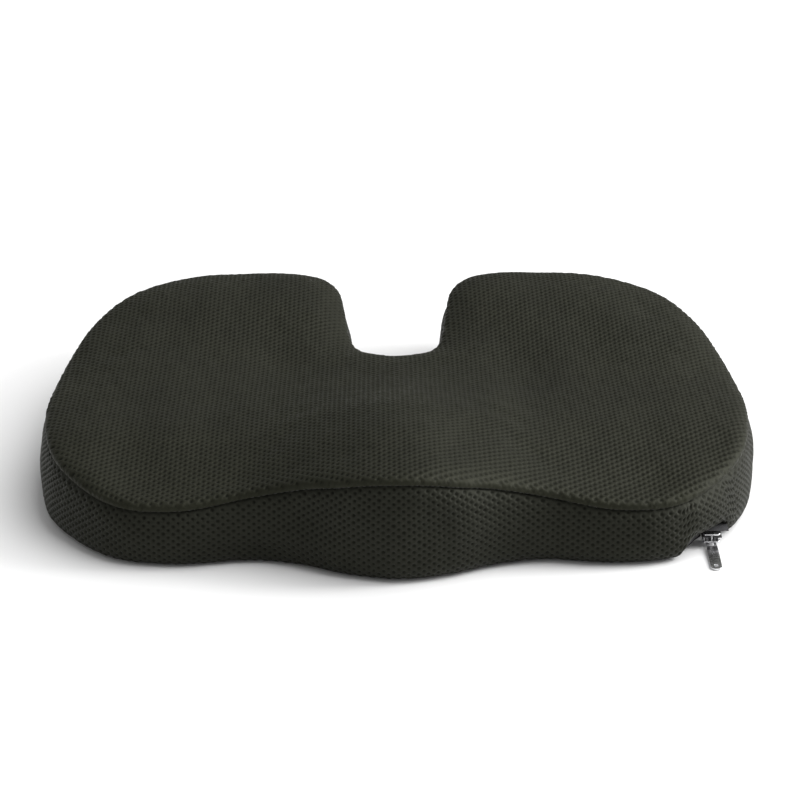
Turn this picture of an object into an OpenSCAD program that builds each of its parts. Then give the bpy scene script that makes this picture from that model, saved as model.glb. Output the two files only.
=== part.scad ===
// Contoured seat cushion with a U-shaped cut-out for the tailbone: a moulded foam core inside a
// zipped cover of spacer mesh with a non-slip base.
// +X is the sitter's right, +Y the rear, where the cut-out opens, and +Z is up. Millimetres.
// The origin is on the surface that the cushion lies on, under the middle of its outline.

/* [Cushion] */
// Width over the widest part of the sides
cushion_w = 450; // [420:5:480]
// Depth from the front bulge to the rear lobes
cushion_d = 350; // [330:5:370]
// Height of the leg grooves at the front, before the edge rounds over
groove_h = 40; // [37:1:43]
// Rise from the leg grooves to the seat area
seat_rise = 12; // [9:1:15]
// Rise from the seat area to the rear lobes
rear_rise = 14; // [11:1:17]
// Height of the middle ridge above the leg grooves
ridge_h = 29; // [24:1:32]
// Half width of the middle ridge
ridge_w = 76; // [66:1:84]

/* [Cover] */
// Thickness of the spacer mesh
mesh_t = 2.5; // [2:0.1:3]
// Thickness of the base fabric
base_t = 1.5; // [1:0.1:2]
// Height of a grip dot below the base fabric
dot_h = 1; // [0.6:0.1:1.2]
// Radius of a grip dot
dot_r = 1.5; // [1:0.1:2.5]
// Pitch of the dots that carry the weight, along a row
dot_pitch = 44; // [40:1:60]
// Radius of the sewing thread
thread_r = 0.3; // [0.2:0.05:0.3]

/* [Zip] */
// How far the closed slider's middle stands in from the outline at the front corner
slider_inset = 8; // [7:1:10]
// Travel of the slider
zip_travel = 205; // [180:1:205]
// Length of the pull, from its hinge to its tip
pull_l = 35; // [30:1:38]
// How far the pull's tip hangs down, in degrees
pull_dip = 2.5; // [1:0.1:2.6]

/* [Hidden] */

gap = 0.4;                       // clearance between layers that lie on each other
seam_inset = 4;                  // how far the top seam stands in from the widest outline
rim_inset = 7;                   // how far the band turns in at its bottom edge
rim_r = 9;                       // height over which the band turns in
seam_gap = 0.7;                  // room for the thread between top panel and band
panel_inset = rim_inset + mesh_t + 0.8;
base_z = dot_h;                  // underside of the base fabric
arch_h = 10.5;                   // how far the band's bottom edge rises over the slider

// Half of the outline at its widest level, from the middle of the front to the middle of the
// cut-out, as shares of half the width and half the depth.
OUTLINE = [[0, -1], [0.142, -0.963], [0.268, -0.892], [0.402, -0.862], [0.582, -0.888],
    [0.748, -0.850], [0.872, -0.716], [0.962, -0.514], [1.000, -0.218], [0.992, 0.068],
    [0.965, 0.312], [0.914, 0.556], [0.816, 0.790], [0.648, 0.950], [0.464, 0.995],
    [0.322, 0.992], [0.216, 0.940], [0.157, 0.822], [0.135, 0.650], [0.121, 0.475],
    [0.098, 0.376], [0.050, 0.338], [0, 0.324]];
HALF = len(OUTLINE) - 1;
SIDE_END = 11;                   // control point where the side gives way to the rear lobe
NOTCH_START = 18;                // control point where the rear lobe gives way to the cut-out
BAND_JOIN = 16.6;                // where the two lengths of band are sewn together
LOBE_STEPS = 14;

function lerp(a, b, t) = a + (b - a) * t;
function ss(a, b, v) = let (t = max(0, min(1, (v - a) / (b - a)))) t * t * (3 - 2 * t);

// The outline is a closed spline through the control points and their mirror images.
function control(i) = let (k = (i + 2 * HALF) % (2 * HALF), m = k <= HALF ? k : 2 * HALF - k,
    side = k <= HALF ? 1 : -1) [side * OUTLINE[m][0] * cushion_w / 2, OUTLINE[m][1] * cushion_d / 2];
function spline(t) = let (i = floor(t), u = t - i, a = control(i - 1), b = control(i),
    c = control(i + 1), d = control(i + 2))
    0.5 * (2 * b + (c - a) * u + (2 * a - 5 * b + 4 * c - d) * u * u
        + (3 * b - a - 3 * c + d) * u * u * u);
function outward(t) = let (d = spline(t + 0.02) - spline(t - 0.02)) [d[1], -d[0]] / norm(d);
function inset(t, by) = spline(t) - outward(t) * by;

// Shares of the way along a side at which the rings have points, closer together where the zip
// passes under the band.
SHARES = [for (k = [0:21]) each (abs(k - 11) < 2 ? [k / 22, (k + 0.5) / 22] : [k / 22]), 1];
SIDE_STEPS = len(SHARES) - 1;
HALF_T = [for (k = [0:SIDE_STEPS - 1]) SIDE_END * SHARES[k],
    for (k = [0:LOBE_STEPS - 1]) lerp(SIDE_END, NOTCH_START, k / LOBE_STEPS),
    for (k = [0:SIDE_STEPS]) lerp(NOTCH_START, HALF, SHARES[k])];
RING_T = [each HALF_T, for (k = [len(HALF_T) - 2:-1:1]) 2 * HALF - HALF_T[k]];
N = len(RING_T);
SEAM_LINE = [for (t = RING_T) inset(t, seam_inset)];

// Every point of the outline faces a point of a spine that runs round the cut-out, half way
// between the two sides, so that rings can shrink from the outline to the spine.
function spine_share(k) = k <= SIDE_STEPS ? SHARES[k]
    : k < SIDE_STEPS + LOBE_STEPS ? 1 : SHARES[2 * SIDE_STEPS + LOBE_STEPS - k];
function spine(i) = let (k = i < len(HALF_T) ? i : N - i, s = spine_share(k),
    side = i < len(HALF_T) ? 1 : -1,
    m = (inset(SIDE_END * s, seam_inset) + inset(lerp(HALF, NOTCH_START, s), seam_inset)) / 2)
    [side * m[0], m[1]];

// The zip runs front to back under the right-hand side, from the front corner.
ZIP_START_POINT = spline(5.75);
zip_x = ZIP_START_POINT[0];
zip_closed_y = ZIP_START_POINT[1] + slider_inset;
function arch(p) = arch_h * (1 - ss(13, 27, norm(p - ZIP_START_POINT)));

function segment_distance(p, a, b) = let (d = b - a, t = max(0, min(1, (p - a) * d / (d * d))))
    norm(p - a - d * t);
function edge_distance(p) = min([for (i = [0:N - 1])
    segment_distance(p, SEAM_LINE[i], SEAM_LINE[(i + 1) % N])]);

// Height of the cover's top: leg grooves, seat area and rear lobes, with the middle ridge, raised
// sides and two shallow hollows for the sitting bones, rounded over towards the seam.
function plain_top(x, y) = groove_h + seat_rise * ss(-175, -60, y) + rear_rise * ss(10, 165, y)
    + ridge_h * exp(-pow(x / ridge_w, 2)) * (1 - ss(-150, 40, y))
    + 2 * ss(150, 222, abs(x)) * (1 - 0.8 * ss(60, 160, y))
    - 4 * exp(-pow((abs(x) - 75) / 45, 2) - pow((y - 20) / 55, 2));
function edge_drop(y, d) = let (s = ss(-140, 60, y), u = 0.92 * max(0, 1 - d / lerp(13, 27, s)))
    lerp(3.8, 8, s) * (1 - sqrt(1 - u * u)) / (1 - sqrt(1 - 0.92 * 0.92));
function top_z(p) = plain_top(p[0], p[1]) - edge_drop(p[1], edge_distance(p));
function seam_z(t) = let (p = inset(t, seam_inset)) plain_top(p[0], p[1]) - edge_drop(p[1], 0);

SHRINK = [0, 0.035, 0.08, 0.14, 0.22, 0.33, 0.47, 0.65, 0.83];

// Faces between closed rings of n points, ring r starting at index r * n.
function ring_faces(n, rings, first = 0) = [for (r = [0:rings - 2], i = [0:n - 1])
    let (a = first + r * n + i, b = first + r * n + (i + 1) % n) each [[a, b + n, b], [a, a + n, b + n]]];
// Faces that join the last ring to the spine, whose points are shared by the two sides.
function spine_vertex(i) = let (k = i < len(HALF_T) ? i : N - i, side = i < len(HALF_T) ? 0 : 1,
    s = k <= SIDE_STEPS ? k : k < SIDE_STEPS + LOBE_STEPS ? SIDE_STEPS : 2 * SIDE_STEPS + LOBE_STEPS - k)
    s == 0 ? 0 : 1 + side * SIDE_STEPS + s - 1;
SPINE = [spine(0), for (k = [1:SIDE_STEPS]) spine(k), for (k = [1:SIDE_STEPS]) spine(N - k)];
function spine_faces(first, start) = [for (i = [0:N - 1]) let (j = (i + 1) % N,
    a = start + spine_vertex(i), b = start + spine_vertex(j))
    each (a == b ? [[first + i, a, first + j]] : [[first + i, a, b], [first + i, b, first + j]])];
function flipped(faces) = [for (f = faces) [f[2], f[1], f[0]]];

// A sheet of rings over the whole top, dropped below the cover's surface and pulled in at its edge.
function top_points(by, drop) = [for (w = SHRINK, i = [0:N - 1])
    let (p = lerp(inset(RING_T[i], seam_inset + by), spine(i), w)) [p[0], p[1], top_z(p) - drop],
    for (p = SPINE) [p[0], p[1], top_z(p) - drop]];
TOP_RINGS = len(SHRINK);
TOP_COUNT = N * TOP_RINGS + len(SPINE);

// Closed block that fills the cover, a distance in from its outer surface.
WALL_ANGLES = [90, 60, 30, 0];
WALL_SHARES = [0.25, 0.5, 0.75, 1];
function wall_points(by) = [
    for (i = [0:N - 1]) let (p = lerp(inset(RING_T[i], rim_inset + by), spine(i), 0.3)) [p[0], p[1], by],
    for (a = WALL_ANGLES, t = RING_T) let (p = inset(t, by + rim_inset * (1 - cos(a))))
        [p[0], p[1], arch(spline(t)) + base_z + (by - base_z) * sin(a) + rim_r * (1 - sin(a))],
    for (s = WALL_SHARES, t = RING_T) let (p = inset(t, by + seam_inset * s * s))
        [p[0], p[1], lerp(arch(spline(t)) + base_z + rim_r, seam_z(t) - mesh_t - seam_gap, s)]];
module block(by) {
    points = concat(wall_points(by), top_points(by, by));
    rings = 1 + len(WALL_ANGLES) + len(WALL_SHARES);
    polyhedron(points, concat([[for (i = [0:N - 1]) i]], ring_faces(N, rings + TOP_RINGS),
        spine_faces((rings + TOP_RINGS - 1) * N, (rings + TOP_RINGS) * N)));
}

// Room for the zip along the underside: wide at the base and narrow above the slider.
module zip_groove() {
    translate([zip_x, 200, 0]) rotate([90, 0, 0]) linear_extrude(400)
        polygon([[-22, -1], [22, -1], [22, 3.4], [11.5, 10], [-11.5, 10], [-22, 3.4]]);
}

module foam_core() {
    color("#c9b48a") difference() {
        block(mesh_t + gap);
        zip_groove();
    }
}

module top_panel() {
    color("#26261f") polyhedron(concat(top_points(0, mesh_t), top_points(0, 0)),
        concat(flipped(concat(ring_faces(N, TOP_RINGS), spine_faces((TOP_RINGS - 1) * N, TOP_RINGS * N))),
            ring_faces(N, TOP_RINGS, TOP_COUNT),
            spine_faces(TOP_COUNT + (TOP_RINGS - 1) * N, TOP_COUNT + TOP_RINGS * N),
            [for (i = [0:N - 1]) let (j = (i + 1) % N) each [[i, j + TOP_COUNT, j],
                [i, i + TOP_COUNT, j + TOP_COUNT]]]));
}

// Section through the band at one place: up the outside, then down the inside.
function band_section(t) = let (up = base_z + arch(spline(t)), top = seam_z(t) - mesh_t - seam_gap)
    [for (side = [0, 1]) let (order = side == 0 ? [0:1:7] : [7:-1:0]) for (k = order)
        let (by = side * mesh_t,
            a = k < 4 ? 90 - 30 * k : 0, s = k < 4 ? 0 : (k - 3) / 4,
            p = inset(t, k < 4 ? by + rim_inset * (1 - cos(a)) : by + seam_inset * s * s))
        [p[0], p[1], k < 4 ? up + rim_r * (1 - sin(a)) : lerp(up + rim_r, top, s)]];
SECTION = 16;
function end_cap(first) = [for (k = [0:SECTION / 2 - 2]) each
    [[first + k, first + k + 1, first + SECTION - 1 - k],
        [first + k + 1, first + SECTION - 2 - k, first + SECTION - 1 - k]]];
module band(places) {
    n = len(places);
    polyhedron([for (t = places) each band_section(t)],
        flipped(concat(end_cap(0), [for (r = [0:n - 2], k = [0:SECTION - 1]) let (a = r * SECTION + k,
                b = r * SECTION + (k + 1) % SECTION) each [[a, a + SECTION, b], [b, a + SECTION, b + SECTION]]],
            flipped(end_cap((n - 1) * SECTION)))));
}
JOIN_GAP = 0.015;
module outer_band() {
    color("#1f1f1c") band([-BAND_JOIN + JOIN_GAP,
        for (k = [len(HALF_T) - 1:-1:1]) if (HALF_T[k] < BAND_JOIN - 0.1) -HALF_T[k],
        for (t = HALF_T) if (t < BAND_JOIN - 0.1) t, BAND_JOIN - JOIN_GAP]);
}
module notch_band() {
    color("#1f1f1c") band([BAND_JOIN + JOIN_GAP,
        for (t = RING_T) if (t > BAND_JOIN + 0.1 && t < 2 * HALF - BAND_JOIN - 0.1) t,
        2 * HALF - BAND_JOIN - JOIN_GAP]);
}

// A thread laid round the outline: a closed tube through one point at each place.
module thread(points) {
    sides = 5;
    polyhedron([for (i = [0:N - 1]) let (p = points[i], n = outward(RING_T[i])) for (k = [0:sides - 1])
        p + thread_r * [n[0] * cos(72 * k), n[1] * cos(72 * k), sin(72 * k)]],
        [for (i = [0:N - 1], k = [0:sides - 1]) let (a = i * sides + k, b = i * sides + (k + 1) % sides,
            c = ((i + 1) % N) * sides + k, d = ((i + 1) % N) * sides + (k + 1) % sides)
            each [[a, b, c], [b, d, c]]]);
}
module top_seam_thread() {
    color("#111111") thread([for (t = RING_T) let (p = inset(t, seam_inset + 0.6))
        [p[0], p[1], seam_z(t) - mesh_t - seam_gap / 2]]);
}
module bottom_seam_thread() {
    color("#111111") thread([for (t = RING_T) let (p = inset(t, rim_inset + mesh_t + 0.4))
        [p[0], p[1], base_z + arch(spline(t)) + 0.6]]);
}

// The base fabric climbs beside the zip to the flange that the tape is sewn to.
FLANGE_Z = 5.4;
module base_sheet(side) {
    run = 400;
    translate([zip_x, 200, 0]) rotate([90, 0, 0]) linear_extrude(run)
        polygon([for (p = [[6, FLANGE_Z], [10, FLANGE_Z], [18, base_z], [run, base_z],
            [run, base_z + base_t], [18.4, base_z + base_t], [10.4, FLANGE_Z + base_t],
            [6, FLANGE_Z + base_t]]) [side * p[0], p[1]]]);
}
module rim_prism() {
    linear_extrude(12) polygon([for (t = RING_T) inset(t, panel_inset)]);
}
// Past the zip's closed end the base fabric runs across the gap between the flanges.
module base_panel() {
    start = zip_closed_y + zip_travel + 10;
    color("#2e2e30") intersection() {
        union() {
            base_sheet(-1);
            translate([zip_x - 6.5, start, FLANGE_Z]) cube([12.3, 200 - start, base_t]);
        }
        rim_prism();
    }
}
module zip_facing() {
    color("#1f1f1c") intersection() { base_sheet(1); rim_prism(); }
}

// Grip dots on a grid under the flat of the base, clear of its edges.
function in_base(p) = let (r = norm([p[0] / cushion_w, p[1] / cushion_d])) edge_distance(p) > 12
    && p[0] < zip_x - 24 && (abs(p[0]) > 50 || p[1] < 0.1 * cushion_d) && r < 0.6;
DOT_GRID = [for (i = [-4:4], j = [-3:3]) let (p = [i, j] * dot_pitch) if ((i + j) % 2 == 0 && in_base(p)) p];
module grip_dots() {
    color("#3a3a3d") for (p = DOT_GRID) translate([p[0], p[1], 0])
        cylinder(h = dot_h - 0.01, r1 = dot_r * 0.7, r2 = dot_r, $fn = 32);
}

// Zip: tapes above the flanges, coils on their outer face, which looks down.
TAPE_Z = 7.1;
TAPE_T = 0.6;
COIL_Z = 4.7;
COIL_T = 2.2;
ZIP_START = zip_closed_y - 6;
ZIP_END = zip_closed_y + zip_travel + 11.5;
module tape(side) {
    intersection() {
        translate([zip_x + side * 6.2, (ZIP_START + ZIP_END) / 2, TAPE_Z + TAPE_T / 2])
            cube([10.2, ZIP_END - ZIP_START, TAPE_T], center = true);
        union() {
            rim_prism();
            translate([zip_x - 6, ZIP_START, 0]) cube([12, 12, 12]);
        }
    }
}
module zip_tape_inner() { color("#151515") tape(-1); }
module zip_tape_outer() { color("#151515") tape(1); }

TOOTH = 2.4;
TEETH = floor((zip_travel + 1) / TOOTH);
module coil(side) {
    start = zip_closed_y + 4;
    translate([zip_x, 0, COIL_Z]) linear_extrude(COIL_T) polygon(concat(
        [[side * 3.2, start + TEETH * TOOTH], [side * 3.2, start]],
        [for (k = [0:TEETH - 1]) let (y = start + k * TOOTH)
            each [[side * 1.1, y], [side * 1.1, y + TOOTH * 0.6], [side * 1.7, y + TOOTH * 0.6],
                [side * 1.7, y + TOOTH]]]));
}
module zip_coil_inner() { color("#0e0e0e") coil(-1); }
module zip_coil_outer() { color("#0e0e0e") coil(1); }

// Two clips crimped over the chain's sides at the closed end, and one across both at the open end.
module zip_top_stops() {
    color("#b9bcc0") for (side = [-1, 1])
        translate([zip_x + side * 2.4, zip_closed_y - 1.2, COIL_Z + COIL_T / 2])
            cube([1.4, 2.2, COIL_T], center = true);
}
module zip_bottom_stop() {
    color("#b9bcc0") translate([zip_x, zip_closed_y + zip_travel + 8, COIL_Z + COIL_T / 2 - 0.2])
        cube([7, 3, COIL_T + 0.3], center = true);
}

// Slider: two shield-shaped plates joined by a wedge at the wide end, with guide rails on the
// outer plate and a bridge for the pull below it.
PLATE_T = 1.2;
OUTER_Z = COIL_Z - 0.3 - PLATE_T;
INNER_Z = TAPE_Z + TAPE_T + 0.3;
BRIDGE_DROP = 2.5;
SLIDER_L = 11;
module shield(z, t) {
    translate([0, 0, z]) linear_extrude(t) polygon([[-5.3, -SLIDER_L / 2 + 1.2], [-4.2, -SLIDER_L / 2],
        [4.2, -SLIDER_L / 2], [5.3, -SLIDER_L / 2 + 1.2], [5.3, -0.5], [4.6, SLIDER_L / 2 - 0.8],
        [3.8, SLIDER_L / 2], [-3.8, SLIDER_L / 2], [-4.6, SLIDER_L / 2 - 0.8], [-5.3, -0.5]]);
}
module zip_slider() {
    color("#c2c5c9") translate([zip_x, zip_closed_y, 0]) {
        shield(OUTER_Z, PLATE_T);
        shield(INNER_Z, PLATE_T);
        translate([0, -SLIDER_L / 2 + 1.9, OUTER_Z + PLATE_T / 2]) linear_extrude(INNER_Z - OUTER_Z)
            polygon([[-0.8, -1.6], [0.8, -1.6], [0.5, 2.2], [-0.5, 2.2]]);
        for (side = [-1, 1]) translate([side * 4.35, 0, OUTER_Z + PLATE_T / 2 + 1.25])
            cube([0.8, SLIDER_L - 3.2, 2.5], center = true);
        for (end = [-1, 1]) translate([0, end * 4.2, OUTER_Z - BRIDGE_DROP / 2 + 0.1])
            cube([2, 1, BRIDGE_DROP + 0.2], center = true);
        translate([0, 0, OUTER_Z - BRIDGE_DROP + 0.45]) cube([2, 9.4, 0.9], center = true);
    }
}

// Pull: a flat tab with an eye at one end, lying forward on the surface with its cross bar
// held under the slider's bridge.
PULL_Z = OUTER_Z - 0.8;
PULL_T = 1;
module zip_pull() {
    color("#c2c5c9") translate([zip_x, zip_closed_y, PULL_Z]) rotate([pull_dip, 0, 0]) {
        translate([0, 0, -PULL_T / 2]) linear_extrude(PULL_T) difference() {
            union() {
                polygon([[-2.9, 0], [2.9, 0], [3.5, -12], [3.5, 3.5 - pull_l], [-3.5, 3.5 - pull_l],
                    [-3.5, -12]]);
                translate([0, 3.5 - pull_l]) circle(r = 3.5, $fn = 48);
            }
            translate([-1.6, -7.6]) square([3.2, 8]);
            translate([0, 4 - pull_l]) circle(r = 1.5, $fn = 32);
        }
        translate([-2.9, 0, 0]) rotate([0, 90, 0]) cylinder(h = 5.8, r = 0.7, $fn = 32);
    }
}

foam_core();
top_panel();
outer_band();
notch_band();
top_seam_thread();
bottom_seam_thread();
base_panel();
zip_facing();
grip_dots();
zip_tape_inner();
zip_tape_outer();
zip_coil_inner();
zip_coil_outer();
zip_top_stops();
zip_bottom_stop();
zip_slider();
zip_pull();
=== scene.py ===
"""Looks of a contoured seat cushion in a zipped cover of spacer mesh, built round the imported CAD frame.

Lengths in the shape code are in millimetres and become metres when a mesh is made.
"""
import math

import bmesh
import bpy
import numpy as np
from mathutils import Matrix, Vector
from mathutils.kdtree import KDTree


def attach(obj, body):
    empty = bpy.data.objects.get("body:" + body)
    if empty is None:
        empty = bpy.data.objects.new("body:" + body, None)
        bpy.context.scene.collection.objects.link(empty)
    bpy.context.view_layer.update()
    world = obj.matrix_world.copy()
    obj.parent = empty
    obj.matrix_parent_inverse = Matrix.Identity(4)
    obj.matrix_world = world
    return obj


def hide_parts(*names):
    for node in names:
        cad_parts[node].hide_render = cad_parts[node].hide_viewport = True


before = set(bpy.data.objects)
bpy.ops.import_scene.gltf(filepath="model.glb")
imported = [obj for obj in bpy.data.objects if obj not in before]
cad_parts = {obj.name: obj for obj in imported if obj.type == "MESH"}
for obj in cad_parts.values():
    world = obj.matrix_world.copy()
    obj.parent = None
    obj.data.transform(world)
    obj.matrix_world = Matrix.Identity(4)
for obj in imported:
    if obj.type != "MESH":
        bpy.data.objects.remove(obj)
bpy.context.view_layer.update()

MM = 0.001
rng = np.random.default_rng(7)

# ---------------------------------------------------------------- the shape, as in the CAD model
WIDTH, DEPTH = 450.0, 350.0
GROOVE_H, SEAT_RISE, REAR_RISE, RIDGE_H, RIDGE_W = 40.0, 12.0, 14.0, 29.0, 76.0
SEAM_INSET, RIM_INSET, RIM_R, BASE_Z = 4.0, 7.0, 9.0, 1.0
ARCH_H = 10.5
OUTLINE = np.array([
    [0, -1], [0.142, -0.963], [0.268, -0.892], [0.402, -0.862], [0.582, -0.888],
    [0.748, -0.850], [0.872, -0.716], [0.962, -0.514], [1.000, -0.218], [0.992, 0.068],
    [0.965, 0.312], [0.914, 0.556], [0.816, 0.790], [0.648, 0.950], [0.464, 0.995],
    [0.322, 0.992], [0.216, 0.940], [0.157, 0.822], [0.135, 0.650], [0.121, 0.475],
    [0.098, 0.376], [0.050, 0.338], [0, 0.324]])
HALF = len(OUTLINE) - 1
BAND_JOIN = 16.6


def smooth(a, b, v):
    t = np.clip((v - a) / (b - a), 0, 1)
    return t * t * (3 - 2 * t)


def control(i):
    k = np.mod(i + 2 * HALF, 2 * HALF)
    m = np.where(k <= HALF, k, 2 * HALF - k)
    side = np.where(k <= HALF, 1.0, -1.0)
    return np.stack([side * OUTLINE[m, 0] * WIDTH / 2, OUTLINE[m, 1] * DEPTH / 2], -1)


def spline(t):
    t = np.asarray(t, float)
    i = np.floor(t).astype(int)
    u = (t - i)[..., None]
    a, b, c, d = control(i - 1), control(i), control(i + 1), control(i + 2)
    return 0.5 * (2 * b + (c - a) * u + (2 * a - 5 * b + 4 * c - d) * u * u
                  + (3 * b - a - 3 * c + d) * u ** 3)


def outward(t):
    t = np.asarray(t, float)
    d = spline(t + 0.02) - spline(t - 0.02)
    d /= np.linalg.norm(d, axis=-1, keepdims=True)
    return np.stack([d[..., 1], -d[..., 0]], -1)


def inset(t, by):
    return spline(t) - outward(t) * np.asarray(by, float)[..., None]


# A fine walk round the outline: its parameter, its length so far and the seam line beside it.
WALK_T = np.linspace(0, 2 * HALF, 881)[:-1]
WALK_P = spline(WALK_T)
WALK_S = np.concatenate([[0], np.cumsum(np.linalg.norm(np.diff(
    np.vstack([WALK_P, WALK_P[:1]]), axis=0), axis=1))])
GIRTH = WALK_S[-1]


def t_at(s):
    """The outline's parameter at a length along it from the middle of the front."""
    s = np.asarray(s, float)
    turns = np.floor(s / GIRTH)
    return np.interp(s - turns * GIRTH, WALK_S, np.append(WALK_T, 2 * HALF)) + turns * 2 * HALF


def s_at(t):
    return np.interp(t, np.append(WALK_T, 2 * HALF), WALK_S)


def border(by, step=2):
    """Closed polygon a distance in from the outline."""
    return inset(WALK_T[::step], np.full(len(WALK_T[::step]), float(by)))


def polygon_distance(points, polygon):
    """Signed distance to a closed polygon, positive inside, and the nearest point on it."""
    a = polygon
    d = np.roll(polygon, -1, 0) - a
    length2 = (d * d).sum(1)
    out, near = np.empty(len(points)), np.empty((len(points), 2))
    for start in range(0, len(points), 4096):
        p = points[start:start + 4096]
        rel = p[:, None] - a
        t = np.clip((rel * d).sum(-1) / length2, 0, 1)
        gap = rel - t[..., None] * d
        dist = (gap * gap).sum(-1)
        k = dist.argmin(1)
        rows = np.arange(len(p))
        side = d[k, 0] * gap[rows, k, 1] - d[k, 1] * gap[rows, k, 0]
        out[start:start + 4096] = np.sqrt(dist[rows, k]) * np.where(side >= 0, 1, -1)
        near[start:start + 4096] = a[k] + t[rows, k, None] * d[k]
    return out, near


SEAM_LINE = border(SEAM_INSET)
SEAM_WALK, SEAM_OUT = border(SEAM_INSET, 1), outward(WALK_T)


def plain_top(x, y):
    return (GROOVE_H + SEAT_RISE * smooth(-175, -60, y) + REAR_RISE * smooth(10, 165, y)
            + RIDGE_H * np.exp(-(x / RIDGE_W) ** 2) * (1 - smooth(-150, 40, y))
            + 2 * smooth(150, 222, abs(x)) * (1 - 0.8 * smooth(60, 160, y))
            - 4 * np.exp(-((abs(x) - 75) / 45) ** 2 - ((y - 20) / 55) ** 2))


def edge_drop(y, d):
    s = smooth(-140, 60, y)
    u = 0.92 * np.maximum(0, 1 - d / (13 + 14 * s))
    return (3.8 + 4.2 * s) * (1 - np.sqrt(1 - u * u)) / (1 - math.sqrt(1 - 0.92 * 0.92))


def top_level(p, d):
    """Height of the top at points a distance in from the seam."""
    return plain_top(p[:, 0], p[:, 1]) - edge_drop(p[:, 1], d)


def seam_z(t):
    p = inset(t, np.full(np.shape(t), SEAM_INSET))
    return plain_top(p[..., 0], p[..., 1]) - edge_drop(p[..., 1], 0)


ZIP_POINT = spline(5.75)
ZIP_X, ZIP_Y = float(ZIP_POINT[0]), float(ZIP_POINT[1]) + 8
ZIP_TRAVEL = 205.0


def arch(p):
    return ARCH_H * (1 - smooth(13, 27, np.linalg.norm(p - ZIP_POINT, axis=-1)))


# ---------------------------------------------------------------- unevenness shared by all fabric
WAVES = [(rng.normal(size=3) * 2 * math.pi / length, rng.uniform(0, 2 * math.pi), size)
         for length, size in [(95, 0.5)] * 6 + [(48, 0.22)] * 8 + [(24, 0.09)] * 8]


def unevenness(p):
    """Slow swell of the cover, about a millimetre from lowest to highest."""
    return sum(size * np.sin(p @ k + phase) for k, phase, size in WAVES) * 0.45


PUCKER = [(rng.uniform(7, 17), rng.uniform(0, 2 * math.pi)) for _ in range(6)]


def pucker(s, d, reach):
    """Small gathers where a seam draws the fabric in, dying away from it."""
    wave = sum(np.sin(2 * math.pi * s / length + phase) for length, phase in PUCKER)
    slow = 0.55 + 0.45 * np.sin(2 * math.pi * s / 173 + 1.3)
    return 0.07 * wave * slow * np.exp(-(d / reach) ** 2)


# ---------------------------------------------------------------- meshes from arrays
def add(name, data):
    """A new object in the scene's collection."""
    item = bpy.data.objects.new(name, data)
    bpy.context.scene.collection.objects.link(item)
    return item


def make(name, points, faces, body="cushion", attributes=None):
    """A mesh object from points in millimetres and an array or list of faces."""
    mesh = bpy.data.meshes.new(name)
    points = np.asarray(points, float) * MM
    if isinstance(faces, np.ndarray):
        size = faces.shape[1]
        mesh.vertices.add(len(points))
        mesh.vertices.foreach_set("co", points.ravel())
        mesh.loops.add(faces.size)
        mesh.loops.foreach_set("vertex_index", faces.astype(np.int32).ravel())
        mesh.polygons.add(len(faces))
        mesh.polygons.foreach_set("loop_start", np.arange(len(faces), dtype=np.int32) * size)
        mesh.update(calc_edges=True)
    else:
        mesh.from_pydata(points.tolist(), [], [list(f) for f in faces])
        mesh.update()
    mesh.validate()
    mesh.polygons.foreach_set("use_smooth", np.full(len(mesh.polygons), True))
    for key, values in (attributes or {}).items():
        layer = mesh.attributes.new(key, "FLOAT", "POINT")
        layer.data.foreach_set("value", np.asarray(values, np.float32))
    piece = add(name, mesh)
    if body:
        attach(piece, body)
    return piece


def vertex_normals(points, triangles):
    a, b, c = (points[triangles[:, k]] for k in range(3))
    n = np.cross(b - a, c - a)
    out = np.zeros_like(points)
    for k in range(3):
        np.add.at(out, triangles[:, k], n)
    return out / np.maximum(np.linalg.norm(out, axis=1, keepdims=True), 1e-9)


def flat_area(points, triangles):
    """Twice each triangle's area as seen from above, negative where it is turned over."""
    a, b, c = (points[triangles[:, k]] for k in range(3))
    return (b[:, 0] - a[:, 0]) * (c[:, 1] - a[:, 1]) - (b[:, 1] - a[:, 1]) * (c[:, 0] - a[:, 0])


def instances(template, faces, centres, axes):
    """Copies of a small mesh. axes holds the template's three axes at each centre."""
    points = np.einsum("vk,nkj->nvj", template, axes) + centres[:, None]
    count = len(template)
    offsets = (np.arange(len(centres)) * count)[:, None, None]
    return points.reshape(-1, 3), (faces[None] + offsets).reshape(-1, faces.shape[1])


def ring_quads(rings, size, closed=True):
    """Quads between neighbouring rows of points, each row closed to a ring or left open."""
    r, i = np.meshgrid(np.arange(rings - 1), np.arange(size if closed else size - 1), indexing="ij")
    j = (i + 1) % size
    return np.stack([r * size + i, r * size + j, (r + 1) * size + j, (r + 1) * size + i],
                    -1).reshape(-1, 4)


def tube(path, radius, sides):
    """A round tube along a path, with its frame carried from point to point."""
    path = np.asarray(path, float)
    tangent = np.gradient(path, axis=0)
    tangent /= np.linalg.norm(tangent, axis=1, keepdims=True)
    up = np.array([0.0, 0.0, 1.0]) if abs(tangent[0, 2]) < 0.9 else np.array([1.0, 0.0, 0.0])
    frames = []
    for direction in tangent:
        up = up - direction * (up @ direction)
        up /= np.linalg.norm(up)
        frames.append(up)
    frames = np.array(frames)
    other = np.cross(tangent, frames)
    angle = np.arange(sides) * 2 * math.pi / sides
    points = (path[:, None] + radius * (np.cos(angle)[None, :, None] * frames[:, None]
                                        + np.sin(angle)[None, :, None] * other[:, None]))
    return points.reshape(-1, 3), ring_quads(len(path), sides)


# ---------------------------------------------------------------- the net of the spacer mesh
CELL_A, CELL_B = 6.0, 4.4          # a cell holds two holes
HOLE_A, HOLE_B, HOLE_DEPTH = 1.30, 1.08, 1.30
SHEET_CORNER = (CELL_A ** 2 + CELL_B ** 2) / (4 * CELL_A)


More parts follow.
